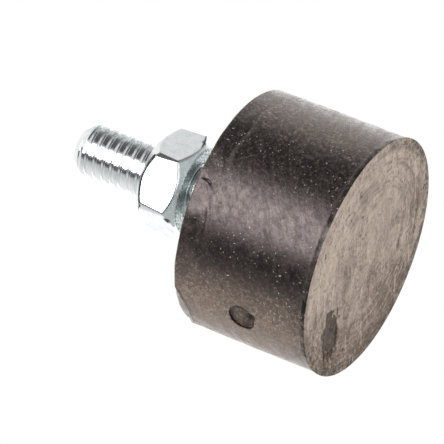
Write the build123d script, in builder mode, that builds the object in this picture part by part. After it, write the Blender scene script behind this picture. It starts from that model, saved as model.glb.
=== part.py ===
from build123d import *

import os
from math import cos, radians, sin, tan

# Anti-vibration mount of the kind with a stud at one end and a plain rubber face at the other.
# A rubber cylinder is moulded round a steel end plate and the head of a threaded stud, and a
# hexagon nut is run part of the way down the stud.
# The mount stands on its rubber face: the origin is the middle of that face and +Z runs along
# the axis to the tip of the stud. Sizes are in millimetres and angles in degrees.
# Angles about the axis are counted from +X towards +Y.

# Rubber buffer
body_dia = 25.0
body_height = 15.0
lip_height = 0.15  # straight part of the moulding lip round the rubber face
lip_fade = 0.6  # height over which the lip runs back into the side
lip_proud = 0.12
lip_round = 0.12
rim_chamfer = 0.12  # edge of the thin skin that wraps the end plate

# Moulding gate: a shallow blind hole left in the side
gate_dia = 2.9
gate_depth = 0.35
gate_height = 7.25  # centre of the hole above the rubber face
gate_floor_round = 0.12

# Slice taken off the skin at the end plate, where the mould flash was trimmed with a knife
trim_angle = -105.5
trim_half_width = 20.5  # half of the arc that the slice takes out of the rim
trim_height = 1.3
trim_overcut = 1.0  # how far the knife passes beyond the rubber

# End plate, pressed from sheet
plate_skin = 0.3  # rubber left round the plate
plate_thickness = 2.0
plate_edge_chamfer = 0.05

# Stud: a headed bolt through the plate, with its head bonded inside the rubber
stud_dia = 5.8
stud_reach = 18.0  # from the plate to the tip
stud_tip_length = 1.2  # of the tapered tip
stud_tip_dia = 4.1
stud_head_dia = 11.0
stud_head_height = 2.2
stud_head_chamfer = 0.4

# Hexagon nut
nut_flats = 9.8
nut_corners_inner = 11.25  # across the turned corners, at the end next to the plate
nut_corners_outer = 10.9  # the same at the other end, as the corners taper
nut_height = 4.7
nut_standoff = 4.5  # clear length of stud between the plate and the nut
nut_turn = 44.0  # a corner of the nut stands at this angle
nut_face_dia = 9.0  # flat ring left at each end by the chamfer
nut_chamfer_angle = 42.0
nut_mouth_dia = 6.5  # where the countersink of the bore opens

# Thread engagement: inside the nut the stud and the bore are both drawn at the pitch diameter
thread_pitch_dia = 5.35
thread_clearance = 0.05  # all round, between the stud and the bore of the nut
thread_overrun = 0.15  # how far the pitch diameter goes on past each face of the nut

# Sizes that follow
body_radius = body_dia / 2
plate_radius = body_radius - plate_skin
plate_bottom = body_height - plate_thickness
stud_radius = stud_dia / 2
stud_tip_radius = stud_tip_dia / 2
pitch_radius = thread_pitch_dia / 2
stud_head_radius = stud_head_dia / 2
stud_head_bottom = plate_bottom - stud_head_height
stud_tip = body_height + stud_reach
nut_bottom = body_height + nut_standoff
nut_top = nut_bottom + nut_height
nut_face_radius = nut_face_dia / 2
nut_inner_radius = nut_corners_inner / 2
nut_outer_radius = nut_corners_outer / 2
nut_bore_radius = pitch_radius + thread_clearance

os.makedirs("parts", exist_ok=True)


# Rubber body: one turned section, hollow where the plate and the head of the stud sit
with BuildPart() as rubber_body:
    with BuildSketch(Plane.XZ):
        with BuildLine():
            Polyline(
                (0, 0),
                (body_radius + lip_proud, 0),
                (body_radius + lip_proud, lip_height),
                (body_radius, lip_height + lip_fade),
                (body_radius, body_height),
                (plate_radius, body_height),
                (plate_radius, plate_bottom),
                (stud_head_radius, plate_bottom),
                (stud_head_radius, stud_head_bottom + stud_head_chamfer),
                (stud_head_radius - stud_head_chamfer, stud_head_bottom),
                (0, stud_head_bottom),
                close=True,
            )
        make_face()
    revolve(axis=Axis.Z)

    # The worn edge of the rubber face, and the rim of the skin at the other end
    round_edges = rubber_body.edges().filter_by(GeomType.CIRCLE)
    fillet(round_edges.group_by(Axis.Z)[0], radius=lip_round)
    outer_rim = round_edges.group_by(Axis.Z)[-1].sort_by(SortBy.RADIUS)[-1]
    chamfer(outer_rim, length=rim_chamfer)

    # Moulding gate, sunk in the side that faces -Y
    with BuildSketch(Plane.XZ.offset(body_radius - gate_depth)):
        with Locations((0, gate_height)):
            Circle(gate_dia / 2)
    extrude(amount=gate_depth + lip_proud, mode=Mode.SUBTRACT)
    gate_floor = rubber_body.edges(Select.LAST).sort_by(Axis.Y)[-1]
    fillet(gate_floor, radius=gate_floor_round)

    # Knife slice: it leaves the rim over the trimmed arc and is deepest in the middle of it
    trim_inset = body_radius * (1 - cos(radians(trim_half_width)))
    trim_slope = trim_height / trim_inset
    trim_cos, trim_sin = cos(radians(trim_angle)), sin(radians(trim_angle))
    trim_plane = Plane((0, 0, 0), x_dir=(trim_cos, trim_sin, 0), z_dir=(trim_sin, -trim_cos, 0))
    knife_out = body_radius + trim_overcut
    knife_in = body_radius - trim_inset - trim_overcut
    knife_low = body_height - trim_height - trim_overcut * trim_slope
    knife_high = body_height + trim_overcut * trim_slope
    with BuildSketch(trim_plane):
        with BuildLine():
            Polyline(
                (knife_out, knife_low),
                (knife_in, knife_high),
                (knife_out, knife_high),
                close=True,
            )
        make_face()
    extrude(amount=body_radius, both=True, mode=Mode.SUBTRACT)
rubber_body.part.label = "rubber_body"
export_step(rubber_body.part, "parts/rubber_body.step")


# End plate: a blanked disc, its outer face level with the end of the rubber
with BuildPart() as end_plate:
    with BuildSketch(Plane.XY.offset(plate_bottom)):
        Circle(plate_radius)
        Circle(stud_radius, mode=Mode.SUBTRACT)
    extrude(amount=plate_thickness)
    plate_rim = end_plate.edges().group_by(Axis.Z)[-1].sort_by(SortBy.RADIUS)[-1]
    chamfer(plate_rim, length=plate_edge_chamfer)
end_plate.part.label = "end_plate"
export_step(end_plate.part, "parts/end_plate.step")


# Stud: head inside the rubber, shank through the plate and the nut, and a tapered tip
with BuildPart() as stud:
    with BuildSketch(Plane.XZ):
        with BuildLine():
            Polyline(
                (0, stud_head_bottom),
                (stud_head_radius - stud_head_chamfer, stud_head_bottom),
                (stud_head_radius, stud_head_bottom + stud_head_chamfer),
                (stud_head_radius, plate_bottom),
                (stud_radius, plate_bottom),
                (stud_radius, nut_bottom - thread_overrun),
                (pitch_radius, nut_bottom - thread_overrun),
                (pitch_radius, nut_top + thread_overrun),
                (stud_radius, nut_top + thread_overrun),
                (stud_radius, stud_tip - stud_tip_length),
                (stud_tip_radius, stud_tip),
                (0, stud_tip),
                close=True,
            )
        make_face()
    revolve(axis=Axis.Z)
stud.part.label = "stud"
export_step(stud.part, "parts/stud.step")


# Nut: a hexagon bar with turned corners and a cone at both ends, bored and countersunk
with BuildPart() as hex_nut:
    with BuildSketch(Plane.XY.offset(nut_bottom)):
        RegularPolygon(nut_flats / 2, side_count=6, major_radius=False, rotation=nut_turn)
    extrude(amount=nut_height)

    chamfer_slope = tan(radians(nut_chamfer_angle))
    inner_chamfer = (nut_inner_radius - nut_face_radius) * chamfer_slope
    outer_chamfer = (nut_outer_radius - nut_face_radius) * chamfer_slope
    with BuildSketch(Plane.XZ):
        with BuildLine():
            Polyline(
                (0, nut_bottom),
                (nut_face_radius, nut_bottom),
                (nut_inner_radius, nut_bottom + inner_chamfer),
                (nut_outer_radius, nut_top - outer_chamfer),
                (nut_face_radius, nut_top),
                (0, nut_top),
                close=True,
            )
        make_face()
    revolve(axis=Axis.Z, mode=Mode.INTERSECT)

    with BuildSketch(Plane.XY.offset(nut_bottom)):
        Circle(nut_bore_radius)
    extrude(amount=nut_height, mode=Mode.SUBTRACT)
    bore_mouths = hex_nut.edges(Select.LAST).filter_by(GeomType.CIRCLE)
    chamfer(bore_mouths, length=nut_mouth_dia / 2 - nut_bore_radius)
hex_nut.part.label = "hex_nut"
export_step(hex_nut.part, "parts/hex_nut.step")
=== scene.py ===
"""Looks of a stud-and-face anti-vibration mount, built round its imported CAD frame.

The mount stands on its plain rubber face. A moulded rubber cylinder holds a steel end plate and the
head of a threaded stud, and a hexagon nut is run part of the way down the stud. Sizes inside the
classes are in millimetres, and every finished mesh is in metres, in the frame of the CAD parts.
"""

import logging
import math
from dataclasses import dataclass, field
from enum import Enum
from typing import Sequence

import bpy
import numpy as np
from mathutils import Matrix, Vector


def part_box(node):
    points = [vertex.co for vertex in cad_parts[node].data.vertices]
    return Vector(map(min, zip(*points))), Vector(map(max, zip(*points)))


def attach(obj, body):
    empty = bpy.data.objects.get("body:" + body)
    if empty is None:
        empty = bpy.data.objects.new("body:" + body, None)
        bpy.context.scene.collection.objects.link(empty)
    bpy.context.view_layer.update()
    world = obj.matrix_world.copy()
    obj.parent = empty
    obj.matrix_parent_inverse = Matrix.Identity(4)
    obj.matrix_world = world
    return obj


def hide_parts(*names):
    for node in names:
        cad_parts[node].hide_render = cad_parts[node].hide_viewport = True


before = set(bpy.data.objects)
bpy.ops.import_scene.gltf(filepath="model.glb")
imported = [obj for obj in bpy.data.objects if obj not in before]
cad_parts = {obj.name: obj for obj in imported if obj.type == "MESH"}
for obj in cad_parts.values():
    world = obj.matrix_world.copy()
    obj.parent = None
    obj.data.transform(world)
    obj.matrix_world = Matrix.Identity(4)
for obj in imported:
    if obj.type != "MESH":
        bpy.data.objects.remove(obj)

MM = 0.001
LEAST_STEP = 0.002  # least distance between two surfaces that mustn't meet, in millimetres
log = logging.getLogger("mount")

# Brightness of the surround at so many degrees round from the camera's side: the low sky, the sky
# over the soft box, and the ground
LOW_SKY = (
    (-180, 2.4), (-158, 2.1), (-138, 1.45), (-118, 0.95), (-98, 0.80), (-88, 0.20), (-66, 0.10),
    (-38, 0.07), (-26, 0.50), (12, 0.50), (21, 0.06), (41, 0.06), (54, 0.60), (105, 0.92),
    (150, 1.15), (180, 2.4),
)
HIGH_SKY = ((-180, 1.0), (6, 1.0), (14, 0.05), (38, 0.05), (50, 0.9), (180, 1.0))
GROUND = (
    (-180, 1.6), (-150, 1.4), (-122, 0.30), (-60, 0.30), (-40, 0.90), (10, 0.90),
    (22, 0.12), (54, 0.12), (64, 0.80), (95, 0.90), (130, 1.6), (180, 1.6),
)

Array = np.ndarray
Colour = tuple[float, float, float]
Stops = Sequence[tuple[float, float]]
Socket = bpy.types.NodeSocket


class Slot(Enum):
    """The record's two material slots."""

    RUBBER = "rubber"
    ZINC = "zinc_plated_steel"


class Side(Enum):
    """How the rows of a grid end: in poles on the axis, or joined into a loop."""

    POLE = "pole"
    LOOP = "loop"


# --------------------------------------------------------------------------- numbers on arrays


def ease(low: float, high: float, value: Array) -> Array:
    """Smooth step from 0 to 1: with t the clamped share of the way from low to high, 3t^2 - 2t^3.

    Args:
        low: value at which the step starts.
        high: value at which it is complete.
        value: where to read it.

    Returns:
        The step's height, from 0 to 1.
    """
    t = np.clip((value - low) / (high - low), 0.0, 1.0)
    return t * t * (3.0 - 2.0 * t)


def bell(distance: Array, width: "float | Array") -> Array:
    """Bell curve of height 1: e to the power of minus the square of distance over width."""
    return np.exp(-((distance / width) ** 2))


def wrapped(angle: Array, degrees: float) -> Array:
    """How far an angle is past another, in radians from minus pi to pi."""
    return np.angle(np.exp(1j * (angle - math.radians(degrees))))


def lattice_value(cell: Array, seed: int) -> Array:
    """One repeatable number for each whole-numbered cell.

    The cell's three numbers are multiplied by large primes, combined bit by bit with the seed, and
    stirred twice.

    Args:
        cell: whole numbers, shape (..., 3).
        seed: picks the pattern.

    Returns:
        Numbers from -1 to 1, shape (...).
    """
    c = cell.astype(np.int64).astype(np.uint64)
    h = c[..., 0] * np.uint64(73856093) ^ c[..., 1] * np.uint64(19349663)
    h ^= c[..., 2] * np.uint64(83492791) ^ np.uint64(seed * 2654435761)
    h = (h ^ (h >> np.uint64(15))) * np.uint64(2246822519)
    h = (h ^ (h >> np.uint64(13))) * np.uint64(3266489917)
    return ((h >> np.uint64(7)) & np.uint64(0xFFFFFF)).astype(float) / 0x7FFFFF - 1.0


def drift(points: Array, cell: float, seed: int) -> Array:
    """Smooth random field: the lattice values of the eight cells round a point, in eased shares.

    Args:
        points: places, shape (..., 3).
        cell: size of a lattice cell, in the points' unit.
        seed: picks the pattern.

    Returns:
        Heights from -1 to 1, shape (...).
    """
    place = points / cell
    low = np.floor(place)
    t = place - low
    t = t * t * (3.0 - 2.0 * t)
    total = np.zeros(points.shape[:-1])
    for corner in np.ndindex(2, 2, 2):
        step = np.array(corner)
        share = np.where(step == 1, t, 1.0 - t).prod(axis=-1)
        total += share * lattice_value(low + step, seed)
    return total


def even(cells: int) -> Array:
    """Shares from 0 to 1 in equal steps."""
    return np.linspace(0.0, 1.0, cells + 1)


def graded(start: float, stop: float, cells: int, marks: Sequence[tuple]) -> Array:
    """Positions from start to stop that crowd together round each mark.

    The density is 1 plus, for each mark, its gain times a bell round it. The positions split the
    area under the density into equal shares.

    Args:
        start: first position.
        stop: last position.
        cells: number of cells.
        marks: (centre, width, gain) of each crowded place.

    Returns:
        The cells + 1 positions.
    """
    fine = np.linspace(start, stop, 4001)
    density = np.ones_like(fine)
    for centre, width, gain in marks:
        density += gain * bell(fine - centre, width)
    area = np.concatenate(([0.0], np.cumsum((density[1:] + density[:-1]) / 2)))
    return np.interp(np.linspace(0.0, area[-1], cells + 1), area, fine)


def bend(first: Array, control: Array, last: Array, t: Array) -> Array:
    """Quadratic curve: first (1-t)^2 + 2 t (1-t) control + last t^2."""
    return first * (1 - t) ** 2 + 2 * t * (1 - t) * control + last * t**2


def corner_columns(count: int, stops: Sequence[tuple]) -> Array:
    """Corners of a section for every meridian.

    Args:
        count: number of meridians.
        stops: (radius, height) of each corner, as one number or one for each meridian.

    Returns:
        The corners, shape (meridians, corners, 2).
    """
    columns = [[np.broadcast_to(part, (count,)) for part in stop] for stop in stops]
    return np.array(columns, dtype=float).transpose(2, 0, 1)


def rounded_path(
    corners: Array,
    trims: "Sequence[float | Array]",
    turns: Sequence[int],
    runs: Sequence[Array],
) -> Array:
    """Polylines with rounded corners, one for each meridian.

    A corner P between A and B becomes the quadratic curve with P as its control point, which starts
    and ends a trim back from P, at most 0.45 of the shorter side. Between two curves the path is
    straight.

    Args:
        corners: (radius, height) of each corner, shape (meridians, corners, 2).
        trims: how far back from each inner corner its curve starts, or a column of meridians.
        turns: cells in each inner corner's curve, 0 to leave it sharp.
        runs: shares from 0 to 1 at which each straight run is divided.

    Returns:
        The points along every path, shape (meridians, rows, 2).
    """
    sides = np.diff(corners, axis=1)
    lengths = np.maximum(np.linalg.norm(sides, axis=2, keepdims=True), 1e-9)
    units = sides / lengths
    start, rows = corners[:, 0], []
    for k, (trim, turn) in enumerate(zip(trims, turns)):
        corner = corners[:, k + 1]
        shorter = np.minimum(lengths[:, k], lengths[:, k + 1])
        reach = np.minimum(trim, 0.45 * shorter) * (turn > 0)
        enter, leave = corner - reach * units[:, k], corner + reach * units[:, k + 1]
        share = runs[k][None, :-1, None]
        rows.append(start[:, None] * (1.0 - share) + enter[:, None] * share)
        if turn:
            t = even(turn)[None, :-1, None]
            rows.append(bend(enter[:, None], corner[:, None], leave[:, None], t))
        start = leave
    share = runs[-1][None, :, None]
    rows.append(start[:, None] * (1.0 - share) + corners[:, -1][:, None] * share)
    return np.concatenate(rows, axis=1)


def swept(radius: Array, height: Array, angle: Array) -> Array:
    """Points at (radius cos angle, radius sin angle, height), from whole arrays."""
    angle = np.broadcast_to(angle, radius.shape)
    return np.stack((radius * np.cos(angle), radius * np.sin(angle), height), axis=-1)


def grid_index(around: int, along: int, side: Side) -> Array:
    """Number of each grid point, with one number for all the points of a pole.

    Args:
        around: number of meridians.
        along: number of rows.
        side: how the rows end.

    Returns:
        The numbers, shape (around, along).
    """
    index = np.arange(around * along).reshape(around, along)
    if side is Side.POLE:
        index[:, 0], index[:, -1] = index[0, 0], index[0, -1]
    return index


def grid_mesh(name: str, points: Array, side: Side, groups: Array) -> bpy.types.Mesh:
    """A closed mesh from a grid of points that is joined round its first index.

    Cell (j, i) has the corners (j, i), (j+1, i), (j+1, i+1) and (j, i+1), so that it faces outwards
    when j runs round the axis from +X to +Y and i along the outline from the bottom, out and up.
    With poles, the first and last rows are single points on the axis; in a loop, the last row joins
    the first.

    Args:
        name: the mesh's name.
        points: grid in millimetres, shape (meridians, rows, 3).
        side: whether the rows end in poles or in a loop.
        groups: material number of each row of cells.

    Returns:
        The mesh, in metres.
    """
    index = grid_index(*points.shape[:2], side)
    after = np.roll(index, -1, axis=0)
    if side is Side.LOOP:
        index, after = (np.concatenate((x, x[:, :1]), axis=1) for x in (index, after))
    quads = np.stack((index[:, :-1], after[:, :-1], after[:, 1:], index[:, 1:]), axis=-1)
    tags = np.broadcast_to(groups, quads.shape[:2])
    if side is Side.POLE:
        fans = quads[:, 0][:, [0, 2, 3]], quads[:, -1][:, [0, 1, 2]]
        body = quads[:, 1:-1].reshape(-1, 4)
        corners = np.concatenate((fans[0].ravel(), body.ravel(), fans[1].ravel()))
        counts = np.repeat([3, 4, 3], [len(fans[0]), len(body), len(fans[1])])
        tags = np.concatenate((tags[:, 0], tags[:, 1:-1].ravel(), tags[:, -1]))
    else:
        corners, tags = quads.ravel(), tags.ravel()
        counts = np.full(len(tags), 4)
    used, corners = np.unique(corners, return_inverse=True)
    mesh = bpy.data.meshes.new(name)
    mesh.vertices.add(len(used))
    mesh.vertices.foreach_set("co", (points.reshape(-1, 3)[used] * MM).astype(np.float32).ravel())
    mesh.loops.add(len(corners))
    mesh.loops.foreach_set("vertex_index", corners.astype(np.int32).ravel())
    mesh.polygons.add(len(counts))
    mesh.polygons.foreach_set("loop_start", (np.cumsum(counts) - counts).astype(np.int32))
    mesh.polygons.foreach_set("material_index", np.asarray(tags, np.int32))
    mesh.polygons.foreach_set("use_smooth", np.ones(len(counts), bool))
    mesh.update(calc_edges=True)
    mesh.validate()
    return mesh


def add_mask(mesh: bpy.types.Mesh, name: str, values: Array, side: Side) -> None:
    """Stores one number for each point of the grid, for a finish to read.

    Args:
        mesh: a mesh from grid_mesh.
        name: the attribute's name.
        values: shape (meridians, rows).
        side: as given to grid_mesh.
    """
    used = np.unique(grid_index(*values.shape, side))
    attribute = mesh.attributes.new(name, "FLOAT", "POINT")
    attribute.data.foreach_set("value", values.ravel()[used].astype(np.float32))


# --------------------------------------------------------------------------- nodes


class Wire:
    """A node's output that sums like a number: +, - and * lay a math node, | takes the larger."""

    def __init__(self, bench: "Bench", socket: Socket) -> None:
        """Holds the output and the bench that it is on."""
        self.bench, self.socket = bench, socket

    def __add__(self, other: "Wire | float") -> "Wire":
        """The sum of two values."""
        return self.bench.math("ADD", self, other)

    def __mul__(self, other: "Wire | float") -> "Wire":
        """The product of two values."""
        return self.bench.math("MULTIPLY", self, other)

    def __sub__(self, other: "Wire | float") -> "Wire":
        """This value less another."""
        return self.bench.math("SUBTRACT", self, other)

    def __rsub__(self, other: float) -> "Wire":
        """A number less this value."""
        return self.bench.math("SUBTRACT", other, self)

    def __or__(self, other: "Wire | float") -> "Wire":
        """The larger of two values."""
        return self.bench.math("MAXIMUM", self, other)


Feed = "Wire | float | Sequence[float]"


class Bench:
    """Lays out and joins the nodes of one material or world."""

    def __init__(self, tree: bpy.types.NodeTree) -> None:
        """Starts from an empty tree."""
        self.tree = tree
        tree.nodes.clear()

    def feed(self, target: Socket, value: Feed) -> None:
        """Joins a wire to a socket, or writes a constant into it.

        Args:
            target: the socket.
            value: a wire, a number, a vector, or a colour without its alpha.
        """
        if isinstance(value, Wire):
            self.tree.links.new(value.socket, target)
        elif target.type == "RGBA":
            target.default_value = (*value, 1.0)
        else:
            target.default_value = value

    def node(self, kind: str, inputs: "dict[int | str, Feed]", **settings: object) -> bpy.types.Node:
        """Adds a node.

        Args:
            kind: its type.
            inputs: what goes into each of its sockets that isn't left as it is.
            settings: its own settings.

        Returns:
            The node.
        """
        made = self.tree.nodes.new(kind)
        for key, value in settings.items():
            setattr(made, key, value)
        for key, value in inputs.items():
            self.feed(made.inputs[key], value)
        return made

    def wire(
        self, kind: str, inputs: "dict[int | str, Feed]", out: "int | str" = 0, **settings: object
    ) -> Wire:
        """Adds a node as node() does, and hands back one of its outputs."""
        return Wire(self, self.node(kind, inputs, **settings).outputs[out])

    def math(self, operation: str, first: "Wire | float", second: "Wire | float") -> Wire:
        """One sum on two numbers."""
        return self.wire("ShaderNodeMath", {0: first, 1: second}, operation=operation)

    def split(self, vector: Wire) -> list[Wire]:
        """The three parts of a vector."""
        made = self.node("ShaderNodeSeparateXYZ", {0: vector})
        return [Wire(self, socket) for socket in made.outputs]

    def joined(self, *parts: Wire) -> Wire:
        """A vector made from its parts."""
        return self.wire("ShaderNodeCombineXYZ", dict(enumerate(parts)))

    def length(self, vector: Wire) -> Wire:
        """A vector's length."""
        return self.wire("ShaderNodeVectorMath", {0: vector}, "Value", operation="LENGTH")

    def object_mm(self) -> Wire:
        """Object coordinates in millimetres."""
        return self.stretch(self.wire("ShaderNodeTexCoord", {}, "Object"), (1 / MM, 1 / MM, 1 / MM))

    def stretch(self, vector: Wire, scale: Sequence[float], turn: float = 0.0) -> Wire:
        """Turns a pattern's coordinates about Z, then scales them.

        Args:
            vector: the coordinates.
            scale: along each axis.
            turn: degrees about Z.

        Returns:
            The new coordinates.
        """
        if turn:
            spin = (0.0, 0.0, math.radians(turn))
            vector = self.wire("ShaderNodeMapping", {"Vector": vector, "Rotation": spin})
        return self.wire("ShaderNodeMapping", {"Vector": vector, "Scale": scale})

    def towards(self, vector: Wire, degrees: float) -> Wire:
        """How far a place lies from the axis towards one side.

        Args:
            vector: the place.
            degrees: the side's angle from +X.

        Returns:
            The distance, in the vector's unit.
        """
        lean = math.radians(degrees)
        inputs = {0: vector, 1: (math.cos(lean), math.sin(lean), 0.0)}
        return self.wire("ShaderNodeVectorMath", inputs, "Value", operation="DOT_PRODUCT")

    def noise(
        self, vector: Wire, scale: float, detail: float, rough: float = 0.55, warp: float = 0.0
    ) -> Wire:
        """Fractal noise from 0 to 1, so many cells to the coordinate's unit."""
        names = ("Vector", "Scale", "Detail", "Roughness", "Distortion")
        return self.wire("ShaderNodeTexNoise", dict(zip(names, (vector, scale, detail, rough, warp))))

    def remap(
        self, value: Wire, low: float, high: float, to_low: float = 0.0, to_high: float = 1.0
    ) -> Wire:
        """Eased step of a value from one range to another."""
        inputs = dict(enumerate((value, low, high, to_low, to_high)))
        return self.wire("ShaderNodeMapRange", inputs, interpolation_type="SMOOTHSTEP")

    def ramp(self, share: Wire, stops: Stops) -> Wire:
        """Eased grey levels read at a share from 0 to 1.

        Args:
            share: where to read.
            stops: (share, level) in rising order.

        Returns:
            The level as a colour.
        """
        made = self.node("ShaderNodeValToRGB", {0: share})
        steps = made.color_ramp
        steps.interpolation = "EASE"
        for number, (place, level) in enumerate(stops):
            stop = steps.elements[number] if number < 2 else steps.elements.new(place)
            stop.position, stop.color = place, (level, level, level, 1.0)
        return Wire(self, made.outputs[0])

    def specks(self, vector: Wire, scale: float, radius: float, share: float) -> Wire:
        """Scattered dots, up to 1 inside and 0 outside.

        Args:
            vector: coordinates in millimetres.
            scale: cells to the millimetre, with at most one dot in each.
            radius: of a dot, in cells.
            share: part of the cells that hold a dot.

        Returns:
            The dots' mask.
        """
        cells = self.node("ShaderNodeTexVoronoi", {"Vector": vector, "Scale": scale})
        draws = self.node("ShaderNodeSeparateColor", {0: Wire(self, cells.outputs["Color"])})
        chance, strength = (Wire(self, socket) for socket in draws.outputs[:2])
        dot = self.remap(Wire(self, cells.outputs["Distance"]), radius, radius * 0.55)
        chosen = self.math("LESS_THAN", chance, share)
        return dot * chosen * self.remap(strength, 0.0, 1.0, 0.35, 1.0)

    def mask(self, name: str) -> Wire:
        """A mask stored on the mesh."""
        return self.wire("ShaderNodeAttribute", {}, "Fac", attribute_name=name)

    def tint(self, share: "Wire | float", first: "Wire | Colour", second: "Wire | Colour") -> Wire:
        """Mixes two colours."""
        return self.wire("ShaderNodeMix", {0: share, 6: first, 7: second}, 2, data_type="RGBA")

    def coats(self, colour: "Wire | Colour", *coats: tuple) -> Wire:
        """Lays coats over a colour in turn.

        Args:
            colour: what they lie on.
            coats: (share, colour) of each.

        Returns:
            The colour on top.
        """
        for share, coat in coats:
            colour = self.tint(share, colour, coat)
        return colour

    def bump(self, height: Wire, depth_mm: float, under: "Wire | None" = None) -> Wire:
        """A normal bent by a height map.

        Args:
            height: the map.
            depth_mm: how deep its full range is, in millimetres.
            under: a normal that is bent already.

        Returns:
            The normal.
        """
        inputs = {"Strength": 1.0, "Distance": depth_mm * MM, "Height": height}
        if under is not None:
            inputs["Normal"] = under
        return self.wire("ShaderNodeBump", inputs)

    def end(self, kind: str, shader: Wire) -> None:
        """Ends the tree in an output of this kind."""
        self.node(kind, {"Surface": shader})


def new_material(name: str) -> tuple[bpy.types.Material, Bench]:
    """Makes an empty node material.

    Args:
        name: its name.

    Returns:
        The material and the bench to build it on.
    """
    material = bpy.data.materials.new(name)
    material.use_nodes = True
    return material, Bench(material.node_tree)


# --------------------------------------------------------------------------- finishes


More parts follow.
